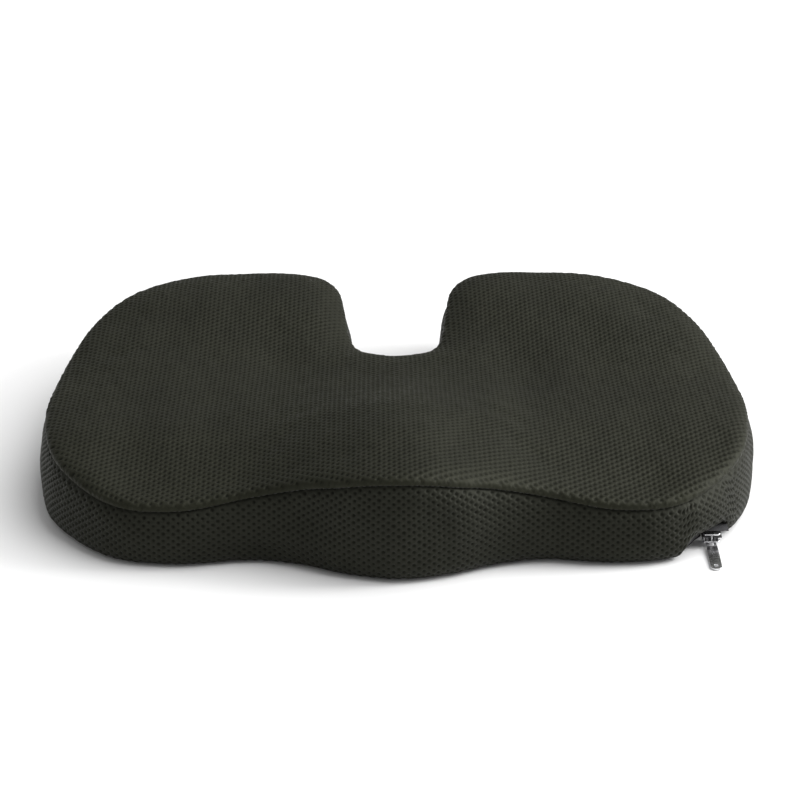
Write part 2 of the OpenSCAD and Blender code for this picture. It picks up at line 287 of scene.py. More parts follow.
def net(u_range, v_range, clamp, place, lift, fade):
    """Holes on a centred lattice in (u, v), with ribs between them.

    clamp gives, for points in (u, v), the distance inside the sheet and the points moved onto it.
    place turns (u, v) into millimetres, lift gives how far each point stands off, and the holes
    open up between the two distances of fade from the sheet's edge."""
    p, q = np.meshgrid(np.arange(math.floor(u_range[0] / (CELL_A / 2)) - 1,
                                 math.ceil(u_range[1] / (CELL_A / 2)) + 2),
                       np.arange(math.floor(v_range[0] / (CELL_B / 2)) - 1,
                                 math.ceil(v_range[1] / (CELL_B / 2)) + 2), indexing="ij")
    even = (p + q) % 2 == 0
    index = -np.ones(p.shape, int)
    index[even] = np.arange(even.sum())
    centre = np.stack([p[even] * CELL_A / 2, q[even] * CELL_B / 2], -1)
    count = len(centre)
    half = np.array([SHEET_CORNER, 0.0])
    outer = np.stack([centre - half, centre + half], 1).reshape(-1, 2)     # left, right
    ring = np.array([[1, 0], [0.5, 0.87], [-0.5, 0.87], [-1, 0], [-0.5, -0.87], [0.5, -0.87]])
    jitter = 1 + 0.10 * rng.standard_normal((count, 1, 1))
    inner = centre[:, None] + ring * np.array([HOLE_A, HOLE_B]) * jitter
    flat = np.vstack([outer, inner.reshape(-1, 2), centre])
    inside, moved = clamp(flat)
    centre_inside = inside[-count:]

    rows, cols = np.nonzero(even)

    def neighbour(dp, dq):
        r, c = rows + dp, cols + dq
        ok = (r >= 0) & (r < p.shape[0]) & (c >= 0) & (c < p.shape[1])
        out = -np.ones(count, int)
        out[ok] = index[r[ok], c[ok]]
        return out

    own = np.arange(count)
    corners = np.stack([2 * own + 1, 2 * neighbour(1, 1), 2 * neighbour(-1, 1) + 1, 2 * own,
                        2 * neighbour(-1, -1) + 1, 2 * neighbour(1, -1)], 1)
    usable = (np.stack([neighbour(1, 1), neighbour(-1, 1), neighbour(-1, -1),
                        neighbour(1, -1)], 1) >= 0).all(1) & (centre_inside > -3.2)
    first_inner, first_centre = 2 * count, 8 * count
    triangles = []
    for k in range(6):
        j = (k + 1) % 6
        o0, o1 = corners[:, k], corners[:, j]
        i0, i1 = first_inner + 6 * own + k, first_inner + 6 * own + j
        mid = first_centre + own
        for tri in ((o0, o1, i1), (o0, i1, i0), (i0, i1, mid)):
            triangles.append(np.stack(tri, 1)[usable])
    triangles = np.vstack(triangles)
    triangles = triangles[flat_area(moved, triangles) > 0.02]
    used, flat_triangles = np.unique(triangles, return_inverse=True)
    triangles = flat_triangles.reshape(-1, 3)
    moved, inside = moved[used], inside[used]

    open_hole = smooth(*fade, centre_inside)
    height = np.zeros(9 * count)
    # Painted shade: this mask darkens the hole rims a little and the hole centres fully, standing in for
    # the shade inside the holes.
    pit_shade = np.zeros(9 * count)
    deep = HOLE_DEPTH * (1 + 0.12 * rng.standard_normal(count))
    height[:2 * count] = 0.16 + 0.05 * rng.standard_normal(2 * count)
    height[first_inner:first_centre] = np.repeat(-0.13 * open_hole, 6)
    height[first_centre:] = -deep * open_hole
    pit_shade[first_inner:first_centre] = np.repeat(0.30 * open_hole, 6)
    pit_shade[first_centre:] = open_hole
    height, pit_shade = height[used], pit_shade[used]

    base = place(moved)
    normal = vertex_normals(base, triangles)
    points = base + normal * (height + lift(moved, inside, base))[:, None]
    return points, triangles, pit_shade


# ---------------------------------------------------------------- top panel
def clamp_top(uv):
    inside, near = polygon_distance(uv, SEAM_LINE)
    moved = np.where((inside < 0)[:, None], near, uv)
    return inside, moved


LIP, LIP_R, LIP_TURN = 2.1, 1.25, math.radians(125)     # the panel's edge rolls under to the seam
LIP_REACH, LIP_FADE = 0.9, 13.0  # how far the edge is let out to carry it, and over what width
LIP_DROP = LIP_R * (1 - math.cos(LIP_TURN))


def place_top(uv):
    d, near = polygon_distance(uv, SEAM_LINE)
    d = np.maximum(d, 0)
    z = top_level(uv, d)
    turn = LIP_TURN * (1 - np.clip(d / LIP, 0, 1))
    away = np.where((d > 1e-3)[:, None], near - uv, 0) / np.maximum(d, 1e-3)[:, None]
    edge = d <= 1e-3
    if edge.any():
        k = ((uv[edge][:, None] - SEAM_WALK[None]) ** 2).sum(-1).argmin(1)
        away[edge] = SEAM_OUT[k]
    push = (LIP_R * np.sin(turn) - np.maximum(LIP - d, 0)) * (d < LIP)
    push = push + LIP_REACH * (1 - smooth(LIP, LIP_FADE, d))
    return np.column_stack([uv + away * push[:, None], z - LIP_R * (1 - np.cos(turn))])


def seam_s(xy):
    """Length along the outline of the nearest place to each point."""
    out = np.empty(len(xy))
    for start in range(0, len(xy), 4096):
        p = xy[start:start + 4096]
        out[start:start + 4096] = WALK_S[((p[:, None] - WALK_P[::2]) ** 2).sum(-1).argmin(1) * 2]
    return out


def lift_top(uv, inside, base):
    d = np.maximum(inside, 0)
    near = d < 25
    gather = np.zeros(len(uv))
    gather[near] = pucker(seam_s(uv[near]), d[near], 7.0)
    return unevenness(base) * smooth(0, 12, d) + gather + cloth_lift(base) * smooth(1, 14, d)


# ---------------------------------------------------------------- side bands
RIM_ARC = 12.62                  # length of the band's turn at its bottom edge
BAND_TOP = 2.8                   # how far below the panel's seam level the band ends
TUCK, TUCK_REACH = 2.0, 2.2      # how far its top edge is drawn in to the seam, and over what height


def section(s, v):
    """Point of the band at length s along the outline, v above its bottom edge."""
    t = t_at(s)
    up = BASE_Z + arch(spline(t))
    top = seam_z(t) - BAND_TOP
    rise = top - up - RIM_R
    w = np.clip((v - RIM_ARC) / (rise * 1.012), 0, 1)
    turn = np.radians(90 * np.clip(1 - v / RIM_ARC, 0, 1))
    low = v < RIM_ARC
    by = np.where(low, RIM_INSET * (1 - np.cos(turn)), SEAM_INSET * w * w)
    by = by - 1.1 * np.sin(np.pi * w) * smooth(18, 40, rise)
    by = by + TUCK * np.exp(-((1 - w) * rise / TUCK_REACH))
    z = np.where(low, up + RIM_R * (1 - np.sin(turn)), up + RIM_R + rise * w)
    return np.column_stack([inset(t, by), z])


def band_length(s):
    t = t_at(s)
    return RIM_ARC + (seam_z(t) - BAND_TOP - BASE_Z - arch(spline(t)) - RIM_R) * 1.012


def band(name, s0, s1, node):
    lengths_s = np.linspace(s0, s1, 600)
    lengths = band_length(lengths_s)

    def clamp(uv):
        top = np.interp(uv[:, 0], lengths_s, lengths)
        inside = np.minimum.reduce([uv[:, 1], top - uv[:, 1], uv[:, 0] - s0, s1 - uv[:, 0]])
        moved = np.column_stack([np.clip(uv[:, 0], s0, s1), uv[:, 1]])
        moved[:, 1] = np.clip(moved[:, 1], 0, np.interp(moved[:, 0], lengths_s, lengths))
        return inside, moved

    def lift(uv, inside, base):
        d_top = np.interp(uv[:, 0], lengths_s, lengths) - uv[:, 1]
        ends = np.minimum(uv[:, 0] - s0, s1 - uv[:, 0])
        return (unevenness(base) * smooth(0, 12, inside) + pucker(uv[:, 0] + 31, d_top, 8.0)
                + pucker(uv[:, 0] * 0.9, uv[:, 1], 7.0) * smooth(0, 2, uv[:, 1])
                - 0.5 * np.exp(-(ends / 2.0) ** 2)
                + cloth_lift(base) * smooth(1, 14, inside))

    points, triangles, pit_shade = net((s0, s1), (0, lengths.max()), clamp,
                                 lambda uv: section(uv[:, 0], uv[:, 1]), lift, (0.6, 2.0))
    # The painted shade in the holes goes on the piece as a point attribute.
    piece = make(name, points, triangles, attributes={"pit_shade": pit_shade})
    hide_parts(node)
    piece.data.materials.append(MESH)
    return piece


# ---------------------------------------------------------------- cloth: how the cover swells
CAP_STEP = 6.0


def cap(line, height, flip):
    """A gridded cap inside a closed line, drawn in to it."""
    i, j = np.meshgrid(np.arange(-39, 40), np.arange(-31, 32), indexing="ij")
    grid = np.stack([i * CAP_STEP, j * CAP_STEP], -1).reshape(-1, 2).astype(float)
    inside, near = polygon_distance(grid, line)
    moved = np.where((inside < 0)[:, None], near, grid)
    index = np.arange(i.size).reshape(i.shape)
    a, b, c, d = index[:-1, :-1], index[1:, :-1], index[1:, 1:], index[:-1, 1:]
    tri = np.vstack([np.stack([a, b, c], -1).reshape(-1, 3),
                     np.stack([a, c, d], -1).reshape(-1, 3)])
    tri = tri[(inside[tri] > -CAP_STEP * 1.5).all(1) & (inside[tri] > 0).any(1)]
    tri = tri[flat_area(moved, tri) > 0.1]
    if flip:
        tri = tri[:, ::-1]
    used, inverse = np.unique(tri, return_inverse=True)
    moved, inside = moved[used], inside[used]
    return np.column_stack([moved, height(moved, np.maximum(inside, 0))]), inverse.reshape(-1, 3)


COARSE_T = np.linspace(0, 2 * HALF, 221)[:-1]
CLOTH_POINTS = CLOTH_SHIFT = CLOTH_TREE = None
CLOTH_CAP, CLOTH_VOXEL, CLOTH_PRESSURE, CLOTH_FRAMES = 2.4, 5.5, 4.0, 20


def simulate_cover():
    """Lets the sewn cover swell under pressure, held at its seams and base, and keeps the shift."""
    global CLOTH_POINTS, CLOTH_SHIFT, CLOTH_TREE
    s = s_at(COARSE_T)
    length = band_length(s)
    rings = [section(s, length * w) for w in np.linspace(0, 0.94, 8)]
    seam = inset(COARSE_T, np.full(len(s), SEAM_INSET))
    rings.append(np.column_stack([seam, seam_z(COARSE_T)]))
    side, side_faces = np.vstack(rings), ring_quads(len(rings), len(s))
    top, top_faces = cap(seam, top_level, False)
    low, low_faces = cap(rings[0][:, :2], lambda p, d: BASE_Z + arch(p), True)
    faces = np.vstack([side_faces[:, [0, 1, 2]], side_faces[:, [0, 2, 3]], top_faces + len(side),
                       low_faces + len(side) + len(top)])
    cover = make("cover_for_cloth", np.vstack([side, top, low]), faces, body=None)
    remesh = cover.modifiers.new("voxels", "REMESH")
    remesh.mode, remesh.voxel_size = "VOXEL", CLOTH_VOXEL * MM
    depsgraph = bpy.context.evaluated_depsgraph_get()
    mesh = bpy.data.meshes.new_from_object(cover.evaluated_get(depsgraph))
    bpy.data.objects.remove(cover)
    bag = add("bag", mesh)
    count = len(mesh.vertices)
    start = np.empty(count * 3)
    mesh.vertices.foreach_get("co", start)
    start = start.reshape(-1, 3)
    normals = np.array([v.normal for v in mesh.vertices])
    p = start / MM
    to_seam, _ = polygon_distance(p[:, :2], SEAM_LINE)
    level = top_level(p, np.maximum(to_seam, 0))
    held = ((np.abs(to_seam) < 4) & (p[:, 2] > level - 7)) | (p[:, 2] < 7)
    group = bag.vertex_groups.new(name="held")
    group.add(np.nonzero(held)[0].tolist(), 1.0, "REPLACE")
    cloth = bag.modifiers.new("Cloth", "CLOTH")
    settings = cloth.settings
    settings.quality = 6
    settings.mass = 0.3
    settings.tension_stiffness = settings.compression_stiffness = 25
    settings.shear_stiffness = 10
    settings.bending_stiffness = 1.5
    settings.vertex_group_mass = "held"
    settings.use_pressure = True
    settings.uniform_pressure_force = CLOTH_PRESSURE
    settings.effector_weights.gravity = 0
    cloth.collision_settings.use_collision = False
    scene = bpy.context.scene
    cloth.point_cache.frame_start, cloth.point_cache.frame_end = 1, CLOTH_FRAMES
    for number in range(1, CLOTH_FRAMES + 1):
        scene.frame_set(number)
    depsgraph = bpy.context.evaluated_depsgraph_get()
    done = bag.evaluated_get(depsgraph).to_mesh()
    end = np.empty(count * 3)
    done.vertices.foreach_get("co", end)
    scene.frame_set(1)
    shift = ((end.reshape(-1, 3) - start) * normals).sum(1) / MM
    bpy.data.objects.remove(bag)
    CLOTH_POINTS, CLOTH_SHIFT = p, np.clip(shift, -0.5, None)
    CLOTH_SHIFT = CLOTH_CAP * np.tanh(CLOTH_SHIFT / CLOTH_CAP)
    CLOTH_TREE = KDTree(count)
    for i, place in enumerate(p):
        CLOTH_TREE.insert(place, i)
    CLOTH_TREE.balance()


def cloth_lift(points):
    """How far the simulated cover stands off its starting shape beside each point."""
    out = np.zeros(len(points))
    if CLOTH_TREE is None:
        return out
    for i, p in enumerate(points):
        total = weight_sum = 0.0
        for _, j, distance in CLOTH_TREE.find_n(p, 4):
            weight = 1 / (distance + 1.0)
            total += CLOTH_SHIFT[j] * weight
            weight_sum += weight
        out[i] = total / weight_sum
    return out


simulate_cover()


# ---------------------------------------------------------------- materials
def material(name):
    m = bpy.data.materials.new(name)
    m.use_nodes = True
    nodes, links = m.node_tree.nodes, m.node_tree.links
    nodes.clear()
    out = nodes.new("ShaderNodeOutputMaterial")
    shader = nodes.new("ShaderNodeBsdfPrincipled")
    links.new(shader.outputs[0], out.inputs[0])

    def node(kind, **values):
        n = nodes.new("ShaderNode" + kind)
        for key, value in values.items():
            if key in n.inputs:
                n.inputs[key].default_value = value
            else:
                setattr(n, key, value)
        return n
    return m, node, links.new, shader


def ramp(node, stops):
    r = node("ValToRGB")
    while len(r.color_ramp.elements) > 1:
        r.color_ramp.elements.remove(r.color_ramp.elements[0])
    for i, (at, colour) in enumerate(stops):
        e = r.color_ramp.elements[0] if i == 0 else r.color_ramp.elements.new(at)
        e.position = at
        e.color = (*colour, 1)
    return r


def fabric_net(name, hole_shade_tone, blue):
    """Black polyester net: yarn with a faint olive cast, and painted shade that darkens the holes. The
    cast is in blue.
    """
    m, node, link, shader = material(name)
    where = node("TexCoord")
    pit_shade = node("Attribute", attribute_name="pit_shade")
    patches = node("TexNoise", Scale=26.0, Detail=3.0, Roughness=0.6)
    fine = node("TexNoise", Scale=1500.0, Detail=2.0, Roughness=0.55)
    yarn = node("TexWave", Scale=520.0, Distortion=2.2, Detail=1.0)
    yarn.bands_direction = "DIAGONAL"
    for n in (patches, fine, yarn):
        link(where.outputs["Object"], n.inputs["Vector"])
    tone = ramp(node, [(0.30, (0.0086, 0.0089, 0.0089 * blue)),
                       (0.55, (0.0112, 0.0116, 0.0116 * blue)),
                       (0.80, (0.0142, 0.0146, 0.0146 * blue))])
    link(patches.outputs["Fac"], tone.inputs["Fac"])
    fleck = node("MixRGB", blend_type="MULTIPLY", Fac=0.5)
    flecks = ramp(node, [(0.30, (0.55, 0.55, 0.55)), (0.62, (1.25, 1.25, 1.22))])
    link(fine.outputs["Fac"], flecks.inputs["Fac"])
    link(tone.outputs["Color"], fleck.inputs["Color1"])
    link(flecks.outputs["Color"], fleck.inputs["Color2"])
    # Painted shade: the colour is multiplied darker inside each hole, down to the given tone, standing in
    # for the shade that falls there.
    hole = ramp(node, [(0.20, (1, 1, 1)), (0.55, (hole_shade_tone,) * 3)])
    link(pit_shade.outputs["Fac"], hole.inputs["Fac"])
    dark = node("MixRGB", blend_type="MULTIPLY", Fac=1.0)
    link(fleck.outputs["Color"], dark.inputs["Color1"])
    link(hole.outputs["Color"], dark.inputs["Color2"])
    link(dark.outputs["Color"], shader.inputs["Base Color"])
    rough = ramp(node, [(0.3, (0.46,) * 3), (0.8, (0.66,) * 3)])
    link(fine.outputs["Fac"], rough.inputs["Fac"])
    link(rough.outputs["Color"], shader.inputs["Roughness"])
    shader.inputs["Specular IOR Level"].default_value = 0.22
    shader.inputs["Specular Tint"].default_value = (0.84, 0.86, 0.66, 1)
    shader.inputs["Sheen Weight"].default_value = 0.012
    shader.inputs["Sheen Roughness"].default_value = 0.45
    shader.inputs["Sheen Tint"].default_value = (0.9, 0.92, 0.75, 1)
    relief = node("Math", operation="ADD")
    link(yarn.outputs["Fac"], relief.inputs[0])
    link(fine.outputs["Fac"], relief.inputs[1])
    bump = node("Bump", Strength=0.28, Distance=0.0002)
    link(relief.outputs[0], bump.inputs["Height"])
    link(bump.outputs["Normal"], shader.inputs["Normal"])
    return m


def woven(name, dark, light, scale, rough):
    """Plain weave: two crossed waves of yarn, uneven in tone."""
    m, node, link, shader = material(name)
    where = node("TexCoord")
    warp = node("TexWave", Scale=scale, Distortion=0.6, Detail=1.0)
    weft = node("TexWave", Scale=scale, Distortion=0.6, Detail=1.0)
    warp.bands_direction, weft.bands_direction = "X", "Y"
    patches = node("TexNoise", Scale=40.0, Detail=4.0)
    for n in (warp, weft, patches):
        link(where.outputs["Object"], n.inputs["Vector"])
    weave = node("Math", operation="MULTIPLY")
    link(warp.outputs["Fac"], weave.inputs[0])
    link(weft.outputs["Fac"], weave.inputs[1])
    both = node("Math", operation="ADD")
    link(weave.outputs[0], both.inputs[0])
    share = node("Math", operation="MULTIPLY")
    share.inputs[1].default_value = 0.6
    link(patches.outputs["Fac"], share.inputs[0])
    link(share.outputs[0], both.inputs[1])
    tone = ramp(node, [(0.25, dark), (0.95, light)])
    link(both.outputs[0], tone.inputs["Fac"])
    link(tone.outputs["Color"], shader.inputs["Base Color"])
    shader.inputs["Roughness"].default_value = rough
    shader.inputs["Sheen Weight"].default_value = 0.1
    bump = node("Bump", Strength=0.5, Distance=0.0002)
    link(weave.outputs[0], bump.inputs["Height"])
    link(bump.outputs["Normal"], shader.inputs["Normal"])
    return m


def speckled(name, dark, light, scale, rough, metal=0.0, strength=0.15, depth=0.0001, stretch=None):
    """A plain body with fine variation in tone, roughness and surface."""
    m, node, link, shader = material(name)
    where = node("TexCoord")
    grain = node("TexNoise", Scale=scale, Detail=5.0, Roughness=0.6)
    if stretch:
        shape = node("Mapping")
        shape.inputs["Scale"].default_value = stretch
        link(where.outputs["Object"], shape.inputs["Vector"])
        link(shape.outputs["Vector"], grain.inputs["Vector"])
    else:
        link(where.outputs["Object"], grain.inputs["Vector"])
    tone = ramp(node, [(0.3, dark), (0.7, light)])
    link(grain.outputs["Fac"], tone.inputs["Fac"])
    link(tone.outputs["Color"], shader.inputs["Base Color"])
    polish = ramp(node, [(0.3, (rough[0],) * 3), (0.7, (rough[1],) * 3)])
    link(grain.outputs["Fac"], polish.inputs["Fac"])
    link(polish.outputs["Color"], shader.inputs["Roughness"])
    shader.inputs["Metallic"].default_value = metal
    bump = node("Bump", Strength=strength, Distance=depth)
    link(grain.outputs["Fac"], bump.inputs["Height"])
    link(bump.outputs["Normal"], shader.inputs["Normal"])
    return m


# Two copies of one net: the band's holes get darker painted shade than the top's, and the top has a
# stronger olive cast.
TOP_MESH = fabric_net("mesh_fabric_top", 0.28, 0.64)
MESH = fabric_net("mesh_fabric_band", 0.10, 0.80)
BASE_CLOTH = woven("base_cloth", (0.016, 0.016, 0.018), (0.040, 0.040, 0.043), 900.0, 0.85)
TAPE = woven("zip_tape", (0.010, 0.010, 0.011), (0.030, 0.030, 0.032), 1300.0, 0.8)
THREAD = speckled("thread", (0.014, 0.014, 0.015), (0.045, 0.045, 0.043), 3000.0, (0.6, 0.8),
                  strength=0.4)
COIL = speckled("nylon", (0.010, 0.010, 0.010), (0.022, 0.022, 0.022), 700.0, (0.28, 0.42))
GRIP = speckled("pvc_dot", (0.040, 0.040, 0.042), (0.062, 0.062, 0.065), 900.0, (0.35, 0.55))
METAL = speckled("nickel", (0.60, 0.60, 0.61), (0.74, 0.74, 0.75), 420.0, (0.18, 0.30), 1.0, 0.04,
                 stretch=(1, 6, 1))
FOAM = speckled("foam", (0.56, 0.49, 0.33), (0.74, 0.67, 0.48), 420.0, (0.85, 0.97), strength=0.7,
                depth=0.0006)

# ---------------------------------------------------------------- cover panels
points, triangles, pit_shade = net(
    (SEAM_LINE[:, 0].min(), SEAM_LINE[:, 0].max()),
    (SEAM_LINE[:, 1].min(), SEAM_LINE[:, 1].max()), clamp_top, place_top, lift_top, (0.9, 2.6))
# The painted shade in the holes goes on the piece as a point attribute.
top_panel = make("top_panel_net", points, triangles, attributes={"pit_shade": pit_shade})
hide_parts("top_panel")
top_panel.data.materials.append(TOP_MESH)

S_JOIN = float(s_at(BAND_JOIN))
band("outer_band_net", -S_JOIN, S_JOIN, "outer_band")
band("notch_band_net", S_JOIN, GIRTH - S_JOIN, "notch_band")

# Seam allowances: narrow strips that close the crease under the lip and the turned-in rim.
t = WALK_T[::2]


def strip(name, profile, mat):
    """A strip round the outline through (inset, height) pairs given as functions of t."""
    rings = [np.column_stack([inset(t, by), z]) for by, z in profile]
    piece = make(name, np.vstack(rings), ring_quads(len(rings), len(t)))
    piece.data.materials.append(mat)


level = seam_z(t)
full = np.ones(len(t))
strip("seam_allowance", [(4.7 * full, level - LIP_DROP + 0.1), (6.4 * full, level - LIP_DROP),
                         (6.8 * full, level - BAND_TOP), (5.9 * full, level - BAND_TOP - 0.1)],
      THREAD)
rise = BASE_Z + arch(spline(t))
strip("rim_hem", [(10.0 * full, rise + 0.9), (9.4 * full, rise + 0.15), (8.2 * full, rise),
                  (7.0 * full, rise), (6.6 * full, rise + 0.25)][::-1], BASE_CLOTH)


# ---------------------------------------------------------------- stitches
def bead(length, width, sides=6):
    """A stitch: a thread that dips at both ends, along the template's first axis."""
    along = np.array([-0.5, -0.38, -0.12, 0.12, 0.38, 0.5])
    thick = np.array([0.25, 0.85, 1.0, 1.0, 0.85, 0.25])
    low = np.array([-0.5, -0.12, 0.0, 0.0, -0.12, -0.5])
    angle = np.arange(sides) * 2 * math.pi / sides
    rings = [np.column_stack([np.full(sides, x * length), np.cos(angle) * width / 2 * k,
                              np.sin(angle) * width / 2 * k + z * width])
             for x, k, z in zip(along, thick, low)]
    quads = ring_quads(len(rings), sides)
    return np.vstack(rings), quads


def stitches(name, pitch, length, width, place, node=None, s0=0.0, s1=None):
    """A row of stitches between two lengths, where place gives their centres and upward axes."""
    s1 = GIRTH if s1 is None else s1
    count = int((s1 - s0) / pitch)
    s = s0 + (np.arange(count) + 0.5) * (s1 - s0) / count
    centre, up = place(s)
    ahead, _ = place(s + 0.5)
    along = ahead - centre
    along /= np.linalg.norm(along, axis=1, keepdims=True)
    up = up - along * (up * along).sum(1)[:, None]
    up /= np.linalg.norm(up, axis=1, keepdims=True)
    tilt = rng.normal(0, 0.05, count)[:, None]
    side = np.cross(up, along)
    along = along + side * tilt
    axes = np.stack([along, np.cross(up, along), up], 1)
    template, quads = bead(length, width)
    points, quads = instances(template, quads, centre, axes)
    piece = make(name, points, quads)
    piece.data.materials.append(THREAD)
    if node:
        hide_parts(node)


def in_crease(s):
    tt = t_at(s)
    p = inset(tt, np.full(len(tt), 5.2))
    n = outward(tt)
    z = seam_z(tt) - (LIP_DROP + BAND_TOP) / 2
    return np.column_stack([p, z]), np.column_stack([n, np.zeros(len(tt))])


def under_rim(s):
    tt = t_at(s)
    p = inset(tt, np.full(len(tt), 8.9))
    z = BASE_Z + arch(spline(tt)) - 0.12
    return np.column_stack([p, z]), np.tile([0.0, 0.0, -1.0], (len(tt), 1))


stitches("top_seam_stitches", 3.3, 2.7, 0.55, in_crease, node="top_seam_thread")
stitches("bottom_seam_stitches", 3.3, 2.7, 0.5, under_rim, node="bottom_seam_thread")


# ---------------------------------------------------------------- base fabric and grip dots
FLANGE_Z = 5.4
FLANGE_EDGE = 6.0                 # the base fabric ends this far from the zip's middle
TAPE_Z, TAPE_T, TAPE_HALF, COIL_Z = 7.1, 0.6, 11.3, 5.8


def base_profile(dx):
    return np.interp(np.abs(dx), [FLANGE_EDGE, 10, 18, 24], [FLANGE_Z, FLANGE_Z, BASE_Z + 0.1, BASE_Z])


RIM_LINE = border(9.3)


def base_sheet(name, side, node):
    """Base fabric on one side of the zip, on a triangular grid drawn in to its edge."""
    pitch = 3.0
    i, j = np.meshgrid(np.arange(-80, 81), np.arange(-72, 73), indexing="ij")
    grid = np.stack([(i + 0.5 * (j % 2)) * pitch, j * pitch * 0.866], -1)
    flat = grid.reshape(-1, 2)
    inside, near = polygon_distance(flat, RIM_LINE)
    moved = np.where((inside < 0)[:, None], near, flat)
    limit = ZIP_X + side * FLANGE_EDGE
    over = side * (moved[:, 0] - limit) < 0
    gap = np.minimum(inside, side * (flat[:, 0] - limit))
    moved[over, 0] = limit
    size = i.shape[1]
    index = np.arange(i.size).reshape(i.shape)
    a, b = index[:-1, :-1], index[1:, :-1]
    c, d = index[1:, 1:], index[:-1, 1:]
    odd = (j[:-1, :-1] % 2).astype(bool)
    tri1 = np.where(odd[..., None], np.stack([a, b, c], -1), np.stack([a, b, d], -1))
    tri2 = np.where(odd[..., None], np.stack([a, c, d], -1), np.stack([b, c, d], -1))
    triangles = np.vstack([tri1.reshape(-1, 3), tri2.reshape(-1, 3)])
    keep = (gap[triangles] > -pitch * 1.1).all(1) & (gap[triangles] > 0).any(1)
    triangles = triangles[keep]
    triangles = triangles[flat_area(moved, triangles) > 0.05]
    used, inverse = np.unique(triangles, return_inverse=True)
    triangles = inverse.reshape(-1, 3)[:, ::-1]
    xy = moved[used]
    z = base_profile(xy[:, 0] - ZIP_X)
    flat_share = smooth(18, 40, np.abs(xy[:, 0] - ZIP_X)) * smooth(0, 14, gap[used])
    z = z + flat_share * (0.12 + 0.25 * unevenness(np.column_stack([xy * 1.7, z])))
    piece = make(name, np.column_stack([xy, z]), triangles)
    piece.data.materials.append(BASE_CLOTH)
    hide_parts(node)


# A skirt closes the rim to the base fabric where it climbs beside the zip.
edge = inset(t, 9.6 * full)
across = np.abs(edge[:, 0] - ZIP_X)
skirt_z = np.where((across < FLANGE_EDGE) & (edge[:, 1] < 0), TAPE_Z + 0.2, base_profile(across))
strip("rim_skirt", [(9.5 * full, rise + 0.2), (9.7 * full, (rise + skirt_z) / 2 + 0.1),
                    (9.9 * full, skirt_z + 0.15), (12.5 * full, skirt_z + 0.35)],
      BASE_CLOTH)

base_sheet("base_fabric_main", -1, "base_panel")
base_sheet("base_fabric_side", 1, "zip_facing")

# Past the zip's closed end the base fabric runs across between the flanges, with a sewn edge.
columns = np.linspace(-6.6, 6.6, 15)
rear_edge = RIM_LINE[(RIM_LINE[:, 1] > 60) & (RIM_LINE[:, 0] > 150)]
rear_edge = rear_edge[np.argsort(rear_edge[:, 0])]
ends = np.interp(ZIP_X + columns, rear_edge[:, 0], rear_edge[:, 1])
share = np.linspace(0, 1, 26)
PATCH_START = ZIP_Y + ZIP_TRAVEL + 10
patch_y = PATCH_START + (ends[None] - PATCH_START) * share[:, None]
patch_x = np.broadcast_to(ZIP_X + columns, patch_y.shape)
patch_z = (FLANGE_Z - 0.25 + 0.12 * np.sin(patch_y * 0.6)
           + 0.9 * np.exp(-(patch_y - PATCH_START) / 0.8))
patch = make("zip_end_patch", np.stack([patch_x, patch_y, patch_z], -1).reshape(-1, 3),
             ring_quads(*patch_y.shape, closed=False)[:, ::-1])
patch.data.materials.append(BASE_CLOTH)

# A strip of the same fabric behind the chain keeps the foam clear of the slider.
GUARD_Z, GUARD_HALF = 9.65, 10.6
guard_y = np.linspace(ZIP_Y - 2, PATCH_START + 12, 80)
guard_x = np.linspace(-GUARD_HALF, GUARD_HALF, 13)
gx, gy = np.meshgrid(ZIP_X + guard_x, guard_y)
gz = GUARD_Z + 0.10 * np.sin(gy * 0.31) * np.cos(gx * 0.9)
guard = make("zip_guard_strip", np.stack([gx, gy, gz], -1).reshape(-1, 3),
             ring_quads(*gx.shape, closed=False))
guard.data.materials.append(BASE_CLOTH)

DOT_PITCH, DOT_RIM, DOT_ZIP = 9.0, 6.0, 21.0     # apart, from the rim and from the zip's middle
SIDES = 10
i, j = np.meshgrid(np.arange(-26, 27), np.arange(-24, 25), indexing="ij")
dots = np.stack([(i + 0.5 * (j % 2)) * DOT_PITCH, j * DOT_PITCH * 0.866], -1).reshape(-1, 2)
inside, _ = polygon_distance(dots, RIM_LINE)
dots = dots[(inside > DOT_RIM) & (np.abs(dots[:, 0] - ZIP_X) > DOT_ZIP)]
angle = np.arange(SIDES) * 2 * math.pi / SIDES
dome_rings = [(1.75, 1.35), (1.62, 0.75), (1.3, 0.28), (0.8, 0.05)]
dome = np.vstack([np.column_stack([np.cos(angle) * r, np.sin(angle) * r, np.full(SIDES, z)])
                  for r, z in dome_rings] + [[[0, 0, 0]]])
dome_quads = ring_quads(len(dome_rings), SIDES)
last = len(dome) - 1 - SIDES
dome_faces = np.vstack([dome_quads[:, [0, 2, 1]], dome_quads[:, [0, 3, 2]],
                        [[last + (k + 1) % SIDES, last + k, len(dome) - 1]
                         for k in range(SIDES)]])
axes = np.tile(np.eye(3), (len(dots), 1, 1)) * (1 + 0.06 * rng.standard_normal((len(dots), 1, 1)))
axes[:, 2, 2] = 1
points, faces = instances(dome, dome_faces, np.column_stack([dots, np.zeros(len(dots))]), axes)
grip = make("grip_dot_field", points, faces)
grip.data.materials.append(GRIP)
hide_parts("grip_dots")

# ---------------------------------------------------------------- zip
ZIP_START, ZIP_END = ZIP_Y - 6, ZIP_Y + ZIP_TRAVEL + 11.5
rim = border(10.3, 1)


def rim_x(y):
    """X of the cover's right-hand rim at y, below the side's widest place."""
    part = rim[(rim[:, 0] > 150) & (np.abs(rim[:, 1]) < 150)]
    order = np.argsort(part[:, 1])
    return np.interp(y, part[order, 1], part[order, 0])


